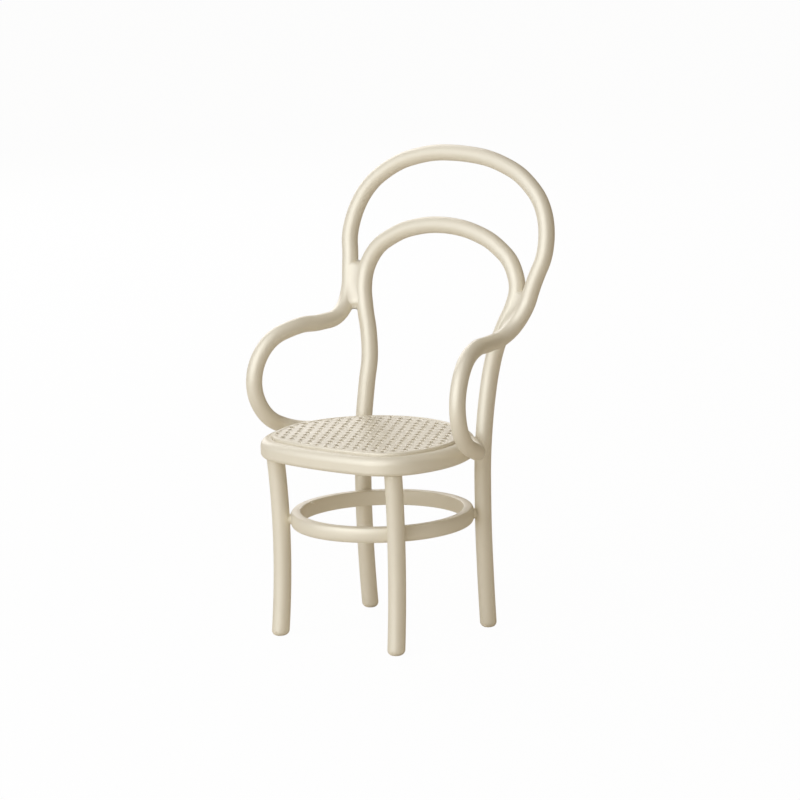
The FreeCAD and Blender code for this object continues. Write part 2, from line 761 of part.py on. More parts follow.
ring = new_body("leg_ring_body", "sizes.ring_height - sizes.ring_thickness / 2")
ring_sketch = new_sketch(ring, "ring_circles")
draw_circle(ring_sketch, RING_CENTRE, size("ring_radius"), "sizes.ring_radius")
inner_radius = size("ring_radius") - size("ring_width")
draw_circle(ring_sketch, RING_CENTRE, inner_radius, "sizes.ring_radius - sizes.ring_width")
ring_pad = pad(ring, "ring_pad", ring_sketch, "sizes.ring_thickness")
outside = size("ring_radius") - size("ring_width") / 2


def is_outer(edge):
    return is_level(edge) and edge.Curve.Radius > outside


def is_inner(edge):
    return is_level(edge) and edge.Curve.Radius < outside


ring_outer = round_edges(ring, "ring_outer_rounding", ring_pad, is_outer, "sizes.ring_round")
round_edges(ring, "ring_inner_rounding", ring_outer, is_inner, "sizes.ring_inner_round")
keep("leg_ring", cut("leg_ring_bored", ring, grouped("ring_bores", list(ring_bores.values()))))

# Check every object, then write each piece to its own file

doc.recompute()
for item in doc.Objects:
    bad = {"Invalid", "Error"} & set(item.State)
    if bad:
        raise ValueError("%s is %s" % (item.Name, ", ".join(bad)))
os.makedirs("parts", exist_ok=True)
for piece in PIECES:
    shape = piece.Shape
    if shape.isNull() or not shape.isValid() or len(shape.Solids) != 1:
        raise ValueError(piece.Label + " is not one sound solid")
for piece in PIECES:
    piece.Shape.exportStep("parts/%s.step" % piece.Label)
    print("%-22s volume %8.1f mm3" % (piece.Label, piece.Shape.Volume))
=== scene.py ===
import json
import math

import bpy
import numpy as np
from bpy.props import FloatProperty, FloatVectorProperty, PointerProperty
from mathutils import Matrix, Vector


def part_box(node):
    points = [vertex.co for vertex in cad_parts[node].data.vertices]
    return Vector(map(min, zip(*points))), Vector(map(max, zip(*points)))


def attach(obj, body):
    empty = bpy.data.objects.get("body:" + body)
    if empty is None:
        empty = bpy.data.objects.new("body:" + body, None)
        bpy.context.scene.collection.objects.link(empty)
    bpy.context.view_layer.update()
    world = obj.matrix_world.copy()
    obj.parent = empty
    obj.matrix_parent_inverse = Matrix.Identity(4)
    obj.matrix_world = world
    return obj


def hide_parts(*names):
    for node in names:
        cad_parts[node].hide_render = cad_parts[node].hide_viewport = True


bl_info = {
    "name": "Miniature Armchair Finish",
    "version": (1, 0, 0),
    "blender": (4, 5, 0),
    "location": "3D View > Sidebar > Armchair",
    "description": "Smooth enamelled rods, seat, cane and paint for a doll-size armchair",
    "category": "Object",
}

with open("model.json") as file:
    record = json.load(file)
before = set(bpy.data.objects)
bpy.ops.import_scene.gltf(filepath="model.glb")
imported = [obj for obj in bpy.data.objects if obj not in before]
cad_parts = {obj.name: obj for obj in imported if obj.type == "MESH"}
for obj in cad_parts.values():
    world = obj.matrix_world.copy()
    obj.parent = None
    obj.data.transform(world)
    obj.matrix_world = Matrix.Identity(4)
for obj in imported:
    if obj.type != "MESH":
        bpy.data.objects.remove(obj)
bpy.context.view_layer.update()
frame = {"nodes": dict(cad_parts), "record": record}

# All sizes below are millimetres unless a name says otherwise; MM brings
# them to the scene's metres. They follow the solids that they stand for.
MM = 0.001
SIDES = {"left": -1, "right": 1}


def extent(node):
    """Lowest and highest corner of a solid, in millimetres."""
    return [np.array(corner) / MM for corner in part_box(node)]


SEAT_LOW, SEAT_HIGH = extent("seat_rim")
PANEL_HIGH = extent("cane_panel")[1]
RING_LOW, RING_HIGH = extent("leg_ring")
HOOP_HIGH = extent("arm_hoop")[1]

# Rods: their widths, the rounding of their feet, and the gaps at the joints.
OVERALL_HEIGHT, HOOP_BACK = HOOP_HIGH[2], HOOP_HIGH[1]
BACK_ROD, ARM_ROD, LEG_ROD, FOOT_ROUND = 4.6, 4.5, 4.9, 1.5
JOINT_GAP, RING_GAP = 0.25, 0.15

# Seat: outline, rim section with the roundings of its corners, cane panel.
SEAT_HEIGHT, SEAT_FRONT_EDGE = SEAT_HIGH[2], SEAT_LOW[1]
SEAT_RADIUS, SEAT_CORNER, SEAT_FRONT = 29.8, 15.0, 100.0
SEAT_CENTRE = np.array([0.0, SEAT_HIGH[1] - SEAT_RADIUS, 0.0])
RIM_THICKNESS = SEAT_HIGH[2] - SEAT_LOW[2]
RIM_BORDER, RIM_WIDTH, RECESS_DEPTH = 3.2, 8.2, 1.3
RIM_EDGE, RIM_SHOULDER, RECESS_EDGE, RECESS_FOOT = 1.1, 2.1, 0.25, 0.1
OPENING_EDGE, OPENING_FOOT = 0.15, 0.4
PANEL_CLEARANCE, WEB_THICKNESS, BEAD_WIDTH = 0.1, 1.5, 1.2
BEAD_TOP, WEB_LOW = PANEL_HIGH[2], SEAT_HEIGHT - RECESS_DEPTH
WEB_TOP = WEB_LOW + WEB_THICKNESS
CANE_PITCH = 3.25

# Ring: its middle and sizes, its bulged outer face and its inner edges.
RING_MIDDLE = (RING_LOW + RING_HIGH) / 2
RING_RADIUS = (RING_HIGH[0] - RING_LOW[0]) / 2
RING_THICKNESS = RING_HIGH[2] - RING_LOW[2]
RING_HEIGHT, RING_WIDTH = RING_MIDDLE[2], 2.9
RING_BULGE, RING_POWER, RING_INNER_ROUND = 1.0, 2.4, 0.3

# Routes of the right half's rods: feet, turns in degrees at the ring and the
# seat, the place where the hoops lie side by side, their crowns, and the arm.
FRONT_LEG_ANGLE, FRONT_LEG_INSET, FRONT_CORNER_TURN = 42.0, 3.9, 47.0
FRONT_FOOT = np.array([20.9, -27.0, 0.0])
REAR_LEG_ANGLE, REAR_SEAT_TURN = 38.8, 48.0
REAR_FOOT = np.array([21.4, 12.0, 0.0])
MEET = np.array([26.9, 19.9, 89.5])
MEET_TURN, MEET_DROP = 13.0, 10.0
BACK_WIDE = np.array([27.3, 21.1, 93.0])
BACK_TOP_HEIGHT, BACK_LEAN, BACK_CROWN_POWER = 108.6, 13.7, 2.0
ARM_HALF_WIDTH, ARM_WIDE_HEIGHT, ARM_LEAN, ARM_CROWN_POWER = 34.9, 104.7, 18.0, 2.2
LOOP_RADIUS, LOOP_HEIGHT, LOOP_AHEAD = 14.3, 67.45, 2.4
LOOP_TOP, LOOP_FRONT, LOOP_LOW, ARM_WAIST = 31.8, 36.5, 33.2, 1.8
ARM_SEAT_TURN, ARM_END_HEIGHT = 25.0, 52.9

# How far along each part of a route its stations lie.
NECK_SHARES = ((0.00, 0.24, 0.30), (0.03, 0.46, 0.50), (0.25, 0.61, 0.68), (0.65, 0.78, 0.85))
BACK_CROWN_SHARES = (0.28, 0.55, 0.78)
ARM_CROWN_SHARES = (0.0, 0.3, 0.55, 0.78)
FLANK_SHARES = (0.56, 0.53, 0.55)
ARM_SHARES = ((0.18, 0.64, 0.70), (0.37, 0.93, 1.00), (0.67, 1.01, 0.80))
LOOP_SHARES = (0.0, 0.25, 0.5, 0.72, 0.91)
LOW_LEG_SHARES = (0.45, 0.30)

# Bead: how far it laps over the solid one, and the roundings of top and foot.
COVER, BEAD_ROUND, BEAD_FOOT = 0.03, 0.45, 0.1

# Strands: points across, steps to a pitch, how deep in the web they start, how
# far over it they end, and where along the pitch their waves start.
STRAND_SIDES, STRAND_STEPS, STRAND_DEPTH, STRAND_LIFT, STRAND_PHASE = 8, 8, 0.3, 0.40, 0.25
CANE_TOP = WEB_TOP + STRAND_LIFT
# Each set of strands: its angle, width share, height share and wave share.
STRAND_SHARES = ((0, 0.64, 1.0, 1.0), (60, 0.64, 1.0, -1.0), (120, 1.0, 0.60, 0.0))
# Holes: the depths under CANE_TOP at which their painted shade starts and is full.
HOLE_LIP, HOLE_SHADE = 0.05, 0.30

# Collars of paint: how far they bite into what they join, and the radius of the
# waist and the flare of the ends, at the ring and at the seat.
COLLAR_BITE, RING_COLLAR, RING_FLARE, SEAT_COLLAR, SEAT_FLARE = 0.9, 1.45, 0.5, 1.1, 0.2
COLLAR_SIDES = 32

# Paint between the hoops: the heights of its ends, its fillets' radius, how far
# its ends climb the rods, the powers by which they climb and thin, its points
# along and across, and the turn and depth of the two points past each touch.
FILL_ENDS = {"left": (84.2, 96.0), "right": (82.2, 93.6)}
FILL_FILLET, FILL_CLIMB, FILL_CLIMB_POWER, FILL_THIN_POWER = 6.0, 1.3, 5, 12
FILL_ROWS, FILL_STEPS, FILL_TAILS = 41, 9, ((0.25, 0.05), (0.55, 0.30))
# The part of the hoops beside it: millimetres up and down, and rods ahead.
MEET_REACH, MEET_AHEAD = 11.0, 1.5

# Drips on the ring: inset and depth of their middles, points round and along,
# and for each its turn round the ring and its half sizes along, across and up.
DRIP_INSET, DRIP_DROP, DRIP_SIDES, DRIP_RINGS = 0.15, 0.25, 20, 13
DRIPS = {"first": (190.0, (0.9, 0.95, 0.55)), "second": (211.0, (1.7, 0.60, 0.45))}

# Arm ends: how far the last two stations of each rise over the solid's, and
# the length of their domed ends.
ARM_END_RISE, ARM_DOME = {"left": (0.0, 0.0), "right": (0.4, 1.3)}, 1.8

# Enamel: width in metres and detail of its waves, patches, dimples and specks;
# how far it pools round a joint, and how much; where it lies thin and where it
# pools faintly; what takes the roughness up or down; the shader's even values.
WAVES, PATCHES, DIMPLES, SPECKS = (0.009, 3.0), (0.021, 2.0), (0.0009, 2.0), (0.0016, 4.0)
POOL_REACH, POOL_LEAST, POOL_PATCHES = 0.0042, 0.30, 0.5
THIN_PATCHES, THIN_SPECKS, THIN_RANGE = 0.7, 0.3, (0.36, 0.66)
FAINT_SHARE, FAINT_RANGE = 0.22, (0.52, 0.80)
ROUGH_EVEN, ROUGH_PATCHES, ROUGH_SPECKS, ROUGH_POOLED = 0.07, 0.10, 0.05, 0.06
SPECULAR_LEVEL, COAT_WEIGHT, COAT_ROUGHNESS = 0.24, 0.04, 0.30

# Stage, in metres: the lamps' distance and widths, and their directions as
# shares of the camera's back, right and up; the top lamp's is the scene's own.
LAMP_REACH = 0.75
KEY_WIDTH, FRONT_WIDTH, TOP_WIDTH, REAR_WIDTH = 1.20, 1.10, 0.80, 0.60
KEY_WAY, FRONT_WAY, REAR_WAY = (0.60, -0.80, 0.18), (0.88, -0.47, 0.27), (-0.85, -0.35, 0.65)
TOP_WAY = (-0.2, -0.35, 1.0)
KEY_TINT, FRONT_TINT, HIGH_TINT = (0.80, 0.88, 1.0), (0.94, 0.97, 1.0), (0.90, 0.92, 1.0)
WORLD_TINT, WHITE = (1.0, 0.853, 0.632), (1, 1, 1, 1)
# Millimetres: the place that the camera aims beside, and how far right and up.
AIM, AIM_RIGHT, AIM_UP = np.array([0, -7.5, 60]), 6.430, 4.712
# Floor: what it throws back on the chair, how white the camera sees it, and
# half its width in metres.
FLOOR_BOUNCE, FLOOR_GLOW, FLOOR_HALF = (0.74, 0.685, 0.59), 0.97, 3.0

# Fineness of the surfaces: a rod's ring step, arc points to a step and at least,
# sides of a rod, rings over a foot and a dome, and the leg ring's sections and
# the points of its edges.
RING_STEP, ARC_FINENESS, ARC_LEAST = 0.55, 4, 4
ROD_SIDES, FOOT_RINGS, DOME_RINGS, RING_SECTIONS, RING_EDGE_POINTS = 40, 9, 10, 320, 5
# How many roundings up a foot turns level, how far beside a profile's arcs its
# extra points lie, and a direction that no rod starts along.
FOOT_LEVEL, HOLD_SHARE, HOLD_LEAST, FIRST_ACROSS = 3, 0.12, 0.3, (0.0, 1.0, 0.3)
TINY = 1e-6


# Settings that a user would change


class EnamelSettings(bpy.types.PropertyGroup):
    """Colours and unevenness of the cream enamel."""

    cream: FloatVectorProperty(
        name="Cream", description="Colour of the enamel where it lies evenly",
        subtype="COLOR", size=3, min=0, max=1, default=(0.800, 0.700, 0.510),
    )
    pooled: FloatVectorProperty(
        name="Pooled", description="Colour of the enamel where it lies thick",
        subtype="COLOR", size=3, min=0, max=1, default=(0.610, 0.500, 0.320),
    )
    thin: FloatVectorProperty(
        name="Thin", description="Colour of the enamel in patches where it lies thin",
        subtype="COLOR", size=3, min=0, max=1, default=(0.835, 0.757, 0.600),
    )
    gloss: FloatProperty(
        name="Roughness", description="Middle roughness of the enamel",
        subtype="FACTOR", min=0, max=1, default=0.46,
    )
    wave: FloatProperty(
        name="Waviness", description="Height of the long waves in the enamel",
        unit="LENGTH", default=0.00009,
    )
    peel: FloatProperty(
        name="Orange peel", description="Height of the fine dimples in the enamel",
        unit="LENGTH", default=0.000012,
    )


class CaneSettings(bpy.types.PropertyGroup):
    """Sizes of the moulded cane on the seat, and the painted shade in its holes."""

    # Painted shade: the dark colour that the cane's holes turn to, standing in for the shadow down
    # in them.
    painted_hole_shade: FloatVectorProperty(
        name="Shade", description="Colour of the enamel down in the cane's holes",
        subtype="COLOR", size=3, min=0, max=1, default=(0.19, 0.155, 0.105),
    )
    strand_width: FloatProperty(
        name="Strand width", description="Width of a cane strand", unit="LENGTH", default=0.00175,
    )
    strand_height: FloatProperty(
        name="Strand height", description="Height of a strand's round top",
        unit="LENGTH", default=0.00016,
    )
    strand_wave: FloatProperty(
        name="Strand wave", description="Rise and fall of a strand over the ones that it crosses",
        unit="LENGTH", default=0.00005,
    )


class StageSettings(bpy.types.PropertyGroup):
    """Camera, lamps and floor."""

    azimuth: FloatProperty(
        name="Azimuth", description="Camera's turn round the chair",
        subtype="ANGLE", default=math.radians(40.496),
    )
    elevation: FloatProperty(
        name="Elevation", description="Camera's rise over the floor",
        subtype="ANGLE", default=math.radians(11.588),
    )
    roll: FloatProperty(
        name="Roll", description="Camera's own turn, as it aims",
        subtype="ANGLE", default=math.radians(-1.806),
    )
    distance: FloatProperty(
        name="Distance", description="Camera to the chair", unit="LENGTH", default=1.6444,
    )
    lens: FloatProperty(
        name="Lens", description="Focal length, millimetres", unit="CAMERA", default=270.006,
    )
    key: FloatProperty(
        name="Key lamp", description="Power of the key lamp", unit="POWER", default=3.35,
    )
    front: FloatProperty(
        name="Front lamp", description="Power of the front lamp", unit="POWER", default=2.7,
    )
    top: FloatProperty(
        name="Top lamp", description="Power of the top lamp", unit="POWER", default=0.9,
    )
    rear: FloatProperty(
        name="Rear lamp", description="Power of the rear lamp", unit="POWER", default=1.9,
    )
    world: FloatProperty(name="World", description="Strength of the light all round", default=0.31)
    floor: FloatVectorProperty(
        name="Floor", description="Colour of the floor",
        subtype="COLOR", size=3, default=(0.9, 0.9, 0.9),
    )


# Shader maths


class Value:
    """A number in a material: the operators add Math nodes."""

    def __init__(self, paint, link):
        self.paint = paint
        self.link = link

    def _math(self, operation, first, second):
        node = self.paint.node("Math", {"operation": operation}, {0: first, 1: second})
        return Value(self.paint, node.outputs[0])

    def __add__(self, other):
        return self._math("ADD", self, other)

    def __sub__(self, other):
        return self._math("SUBTRACT", self, other)

    def __rsub__(self, other):
        return self._math("SUBTRACT", other, self)

    def __mul__(self, other):
        return self._math("MULTIPLY", self, other)

    __radd__ = __add__
    __rmul__ = __mul__

    def largest(self, other):
        """The larger of the two."""
        return self._math("MAXIMUM", self, other)

    def ramp(self, low, high):
        """Zero below low, one above high, smooth between."""
        settings = {"interpolation_type": "SMOOTHSTEP"}
        values = {"Value": self, "From Min": low, "From Max": high}
        return Value(self.paint, self.paint.node("MapRange", settings, values).outputs[0])


class Paint:
    """The nodes of a material, or of the world, under construction."""

    def __init__(self, owner):
        self.owner = owner
        owner.use_nodes = True
        self.nodes = owner.node_tree.nodes
        self.links = owner.node_tree.links
        self.nodes.clear()
        self.place = self.node("TexCoord").outputs["Object"]

    def node(self, kind, settings=None, values=None):
        """A node of a type, with its settings set first and then its sockets."""
        node = self.nodes.new("ShaderNode" + kind)
        for name, setting in (settings or {}).items():
            setattr(node, name, setting)
        for name, value in (values or {}).items():
            value = value.link if isinstance(value, Value) else value
            if isinstance(value, bpy.types.NodeSocket):
                self.links.new(value, node.inputs[name])
            else:
                node.inputs[name].default_value = value
        return node

    def noise(self, size, detail):
        """Noise between 0 and 1 whose patches are about this many metres wide."""
        values = {"Vector": self.place, "Scale": 1 / size, "Detail": detail}
        return Value(self, self.node("TexNoise", None, values).outputs[0])

    def mix(self, factor, first, second):
        """A colour between two colours, which are sockets 6 and 7 of the node."""
        first, second = [(*c, 1) if isinstance(c, tuple) else c for c in (first, second)]
        values = {0: factor, 6: first, 7: second}
        return self.node("Mix", {"data_type": "RGBA"}, values).outputs[2]

    def near(self, places, radius):
        """One at any of the places, falling to zero at the radius."""
        total = None
        for place in places:
            values = {0: self.place, 1: tuple(place)}
            gap = self.node("VectorMath", {"operation": "DISTANCE"}, values).outputs["Value"]
            spot = 1 - Value(self, gap).ramp(0.0, radius)
            total = spot if total is None else total.largest(spot)
        return total

    def height(self):
        """Height over the floor."""
        return Value(self, self.node("SeparateXYZ", None, {0: self.place}).outputs["Z"])

    def finish(self, values):
        """The material, closed with one shader that has these values and links."""
        shader = self.node("BsdfPrincipled", None, values)
        self.node("OutputMaterial", None, {"Surface": shader.outputs[0]})
        return self.owner

    def for_camera(self, seen, other, factor=1):
        """The camera sees one shader, by a factor, and light meets the other."""
        share = Value(self, self.node("LightPath").outputs["Is Camera Ray"]) * factor
        return self.node("MixShader", None, {0: share, 1: other, 2: seen}).outputs[0]


def enamel(name, settings, joints, painted_hole_shade=None):
    """Cream enamel: long waves, fine dimples, and thicker, darker paint at the joints.

    With a painted shade, the colour darkens to it down in the cane's holes, between
    the strands' tops and the underside of the web, as painted shadow there.
    """
    paint = Paint(bpy.data.materials.new(name))
    waves, patches = paint.noise(*WAVES), paint.noise(*PATCHES)
    dimples, specks = paint.noise(*DIMPLES), paint.noise(*SPECKS)
    pooled = paint.near(joints, POOL_REACH) * (POOL_LEAST + patches * POOL_PATCHES)
    thin = (patches * THIN_PATCHES + specks * THIN_SPECKS).ramp(*THIN_RANGE)
    tone = paint.mix(thin, tuple(settings.cream), tuple(settings.thin))
    faint = paint.mix(waves.ramp(*FAINT_RANGE) * FAINT_SHARE, tone, tuple(settings.pooled))
    colour = paint.mix(pooled, faint, tuple(settings.pooled))
    # Painted shade: down in the cane's holes the colour darkens to the shade colour, standing in
    # for their shadow.
    if painted_hole_shade:
        height = paint.height()
        above = height.ramp((CANE_TOP - HOLE_SHADE) * MM, (CANE_TOP - HOLE_LIP) * MM)
        below = height.ramp(WEB_LOW * MM, (WEB_LOW + HOLE_SHADE) * MM)
        colour = paint.mix(below - above, colour, tuple(painted_hole_shade))
    roughness = settings.gloss - ROUGH_EVEN + patches * ROUGH_PATCHES
    roughness = roughness + specks * ROUGH_SPECKS - pooled * ROUGH_POOLED
    wavy = paint.node("Bump", None, {"Strength": 1.0, "Distance": settings.wave, "Height": waves})
    values = {"Strength": 1.0, "Distance": settings.peel, "Height": dimples}
    dimpled = paint.node("Bump", None, {**values, "Normal": wavy.outputs[0]})
    return paint.finish({
        "Base Color": colour,
        "Roughness": roughness,
        "Normal": dimpled.outputs[0],
        "Specular IOR Level": SPECULAR_LEVEL,
        "Coat Weight": COAT_WEIGHT,
        "Coat Roughness": COAT_ROUGHNESS,
    })


# Curves through stations


def circle(count):
    """Turns of points that stand evenly round a circle."""
    return np.arange(count) * (2 * math.pi / count)


def quarter(count):
    """Turns from zero to a right angle."""
    return np.linspace(0, math.pi / 2, count)


def unit(vector):
    """A vector, or each of a row of them, brought to a length of one."""
    return vector / np.linalg.norm(vector, axis=-1, keepdims=True)


def polar(centre, reach, degrees, height):
    """The place at a reach and turn round a centre, at a height."""
    turn = math.radians(degrees)
    across, behind = reach * math.cos(turn), reach * math.sin(turn)
    return np.array([centre[0] + across, centre[1] + behind, height])


def reflected(step, neighbour):
    """Tangent that lets one arc run from the neighbour to the end."""
    along = unit(step)
    return unit(2 * along * along.dot(neighbour) - neighbour)


def station_tangents(stations):
    """Tangent at each station of the circle through it and its neighbours."""
    steps = np.diff(stations, axis=0)
    pulls = steps / (steps ** 2).sum(1, keepdims=True)
    inner = unit(pulls[:-1] + pulls[1:])
    return np.vstack([reflected(steps[0], inner[0]), inner, reflected(steps[-1], inner[-1])])


def arc_points(start, tangent, end):
    """Points of the arc that leaves start along tangent and reaches end.

    Each is the start, plus the sine of the turn along the tangent, plus one
    less its cosine across it, both times the radius.
    """
    chord = end - start
    ahead = chord.dot(tangent)
    across = chord - tangent * ahead
    offset = max(np.linalg.norm(across), TINY)
    radius = chord.dot(chord) / (2 * offset)
    count = max(int(np.linalg.norm(chord) / RING_STEP * ARC_FINENESS), ARC_LEAST)
    turn = np.linspace(0, 2 * math.atan2(offset, ahead), count)[:, None]
    return start + tangent * radius * np.sin(turn) + across / offset * radius * (1 - np.cos(turn))


def smooth_line(stations):
    """Points along one line of tangent arcs, two between each pair of stations.

    The two meet half way between points at one reach along both tangents, and
    the reach solves a quadratic in the chord and the tangents.
    """
    stations = np.array(stations, float)
    tangents = station_tangents(stations)
    parts = []
    for start, leaving, end, arriving in zip(stations, tangents, stations[1:], tangents[1:]):
        chord = end - start
        length = chord.dot(chord)
        pull = 2 * chord.dot(leaving + arriving)
        bend = 2 * (1 - leaving.dot(arriving))
        reach = 2 * length / (pull + math.sqrt(pull ** 2 + 4 * bend * length))
        middle = (start + leaving * reach + end - arriving * reach) / 2
        parts.append(arc_points(start, leaving, middle)[:-1])
        parts.append(arc_points(end, -arriving, middle)[:0:-1])
    parts[-1] = np.vstack([parts[-1][:-1], stations[-1:]])
    line = np.vstack([parts[0][:1]] + parts)
    keep = np.concatenate([[True], np.linalg.norm(np.diff(line, axis=0), axis=1) > TINY])
    return line[keep]


def lengths_along(line):
    """Length of the line from its start to each point."""
    return np.concatenate([[0], np.cumsum(np.linalg.norm(np.diff(line, axis=0), axis=1))])


def at_lengths(line, wanted):
    """Points of the line at wanted lengths from its start."""
    along = lengths_along(line)
    return np.stack([np.interp(wanted, along, line[:, i]) for i in range(3)], 1)


# Routes of the rods


def corner_centre():
    """Centre of the right front corner: the corner touches back and front."""
    inner, outer = SEAT_RADIUS - SEAT_CORNER, SEAT_FRONT - SEAT_CORNER
    front = SEAT_FRONT_EDGE + SEAT_FRONT
    spread = front - SEAT_CENTRE[1]
    along = (inner ** 2 - outer ** 2 + spread ** 2) / (2 * spread)
    return np.array([math.sqrt(inner ** 2 - along ** 2), SEAT_CENTRE[1] + along, 0.0])


def at_ring(rod, degrees):
    """Middle of a leg where it passes the ring."""
    return polar(RING_MIDDLE, RING_RADIUS + RING_GAP + rod / 2, degrees, RING_HEIGHT)


def front_leg_top():
    """Top of the right front leg, under the seat."""
    low = SEAT_HEIGHT - RIM_THICKNESS
    return polar(corner_centre(), SEAT_CORNER - FRONT_LEG_INSET, -FRONT_CORNER_TURN, low)


def rear_leg_at_seat():
    """Middle of the right rear leg where it passes the seat."""
    reach = SEAT_RADIUS + JOINT_GAP + BACK_ROD / 2
    return polar(SEAT_CENTRE, reach, REAR_SEAT_TURN, SEAT_HEIGHT - RIM_THICKNESS / 2)


def meeting_direction():
    """From the right back rod to the arm's rod where they lie side by side."""
    turn, drop = math.radians(MEET_TURN), math.radians(MEET_DROP)
    level = math.cos(drop)
    return np.array([math.cos(turn) * level, -math.sin(turn) * level, -math.sin(drop)])


def arm_at_meeting():
    """Middle of the right arm's rod where it lies beside the back rod."""
    return MEET + meeting_direction() * ((BACK_ROD + ARM_ROD) / 2 + JOINT_GAP)


def arm_end():
    """Middle of the right arm's end."""
    return polar(SEAT_CENTRE, SEAT_RADIUS, ARM_SEAT_TURN, ARM_END_HEIGHT)


def between(first, last, *shares):
    """The place at a share of each axis from first to last."""
    return first + (last - first) * np.array(shares)


def crown(wide, top, power, shares):
    """Stations of a hoop from its top down, on a superellipse.

    Across and up follow the cosine and sine of a quarter turn, each to the
    power 2 / power; behind follows up.
    """
    turn = np.radians(90 * np.sort(shares)[::-1])
    across, up = np.cos(turn) ** (2 / power), np.sin(turn) ** (2 / power)
    rise = top - wide
    points = np.stack([wide[0] * across, wide[1] + rise[1] * up, wide[2] + rise[2] * up], 1)
    return [top] + list(points)


def back_stations():
    """Right half of the back hoop and its rear leg, from the top to the foot."""
    rise = BACK_TOP_HEIGHT - BACK_WIDE[2]
    top = np.array([0, BACK_WIDE[1] + rise * math.tan(math.radians(BACK_LEAN)), BACK_TOP_HEIGHT])
    seat, ring = rear_leg_at_seat(), at_ring(BACK_ROD, REAR_LEG_ANGLE)
    up, flare = LOW_LEG_SHARES
    neck = [between(seat, MEET, *shares) for shares in reversed(NECK_SHARES)]
    low = between(ring, REAR_FOOT, flare, flare, 1 - up)
    arch = crown(BACK_WIDE, top, BACK_CROWN_POWER, BACK_CROWN_SHARES)
    return arch + [BACK_WIDE, MEET] + neck + [seat, ring, low, REAR_FOOT]


def loop_station(share):
    """A point of the right arm's loop: a circle from the side, splayed outwards."""
    turn = math.pi * share
    side = LOOP_TOP if share < 0.5 else LOOP_LOW
    across = side + (LOOP_FRONT - side) * math.sin(turn)
    ahead = LOOP_AHEAD + LOOP_RADIUS * math.sin(turn)
    return np.array([across, -ahead, LOOP_HEIGHT + LOOP_RADIUS * math.cos(turn)])


def arm_stations():
    """Right half of the arm hoop, from its top round the arm to the seat."""
    top = np.array([0, HOOP_BACK - ARM_ROD / 2, OVERALL_HEIGHT - ARM_ROD / 2])
    behind = top[1] - (top[2] - ARM_WIDE_HEIGHT) * math.tan(math.radians(ARM_LEAN))
    wide = np.array([ARM_HALF_WIDTH, behind, ARM_WIDE_HEIGHT])
    meet, loop_top = arm_at_meeting(), loop_station(0)
    arm = []
    for ahead, drop, waist in ARM_SHARES:
        arm.append(between(meet, loop_top, ahead, ahead, drop) - [ARM_WAIST * waist, 0, 0])
    loop = [loop_station(share) for share in LOOP_SHARES]
    arch = crown(wide, top, ARM_CROWN_POWER, ARM_CROWN_SHARES)
    return arch + [between(wide, meet, *FLANK_SHARES), meet] + arm + loop + [arm_end()]


def both_sides(right_half):
    """Stations from the left end over the top to the right end."""
    right = np.array(right_half, float)
    return np.vstack([right[:0:-1] * [-1, 1, 1], right])


def leg_stations():
    """The right front leg, from the seat to the foot."""
    return np.array([front_leg_top(), at_ring(LEG_ROD, -FRONT_LEG_ANGLE), FRONT_FOOT])


# Surfaces


def grid_faces(rows, columns, closed_rows=False):
    """Quads of a grid whose columns close on themselves, and its rows if asked."""
    row = np.arange(rows if closed_rows else rows - 1)[:, None]
    column = np.arange(columns)[None, :]
    after_row, after = (row + 1) % rows, (column + 1) % columns
    corners = [row * columns + column, row * columns + after]
    corners += [after_row * columns + after, after_row * columns + column]
    return np.stack(np.broadcast_arrays(*corners), -1).reshape(-1, 4)


def make_piece(name, points, faces, slot, *nodes):
    """A closed piece, in millimetres, that stands for CAD nodes if any are named.

    Its faces come as arrays of corners, one array for each kind.
    """
    mesh = bpy.data.meshes.new(name)
    mesh.from_pydata(points * MM, [], [face for part in faces for face in part.tolist()])
    mesh.polygons.foreach_set("use_smooth", np.ones(len(mesh.polygons), bool))
    mesh.materials.append(chair_material(slot))
    mesh.update()
    turn_outwards(mesh)
    piece = bpy.data.objects.new(name, mesh)
    bpy.context.scene.collection.objects.link(piece)
    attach(piece, "root")
    if nodes:
        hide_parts(*nodes)


def make_loop(name, points, slot, *nodes):
    """A piece whose sections follow each other round and close on themselves."""
    faces = grid_faces(*points.shape[:2], closed_rows=True)
    make_piece(name, points.reshape(-1, 3), [faces], slot, *nodes)


def turn_outwards(mesh):
    """Turn a closed mesh's faces outwards if its volume comes out negative."""
    mesh.calc_loop_triangles()
    corners = np.empty(len(mesh.loop_triangles) * 3, np.int32)
    mesh.loop_triangles.foreach_get("vertices", corners)
    places = np.empty(len(mesh.vertices) * 3)
    mesh.vertices.foreach_get("co", places)
    a, b, c = places.reshape(-1, 3)[corners.reshape(-1, 3)].transpose(1, 0, 2)
    if (np.cross(a, b) * c).sum() < 0:
        mesh.flip_normals()


def carried_frames(line):
    """Two directions across a line at each point, carried along without twist.

    Each pair is the last one reflected twice: in the plane half way to the
    next point, and in the plane that brings the tangents together.
    """
    tangents = unit(np.gradient(line, axis=0))
    aside = np.empty_like(line)
    aside[0] = unit(np.cross(tangents[0], FIRST_ACROSS))
    for i in range(len(line) - 1):
        step = line[i + 1] - line[i]
        carried = aside[i] - step * (2 * step.dot(aside[i]) / step.dot(step))
        tangent = tangents[i] - step * (2 * step.dot(tangents[i]) / step.dot(step))
        gap = tangents[i + 1] - tangent
        size = gap.dot(gap)
        if size > TINY ** 2:
            carried = carried - gap * (2 * gap.dot(carried) / size)
        aside[i + 1] = carried
    return tangents, aside, np.cross(tangents, aside)


def tube(line, radius, sides=ROD_SIDES):
    """Points of a round tube: line plus cosine and sine of a turn times the radius."""
    tangents, aside, other = carried_frames(line)
    turn = circle(sides)[None, :, None]
    spokes = np.cos(turn) * aside[:, None] + np.sin(turn) * other[:, None]
    radius = np.broadcast_to(radius, len(line))[:, None, None]
    return line[:, None] + spokes * radius, tangents


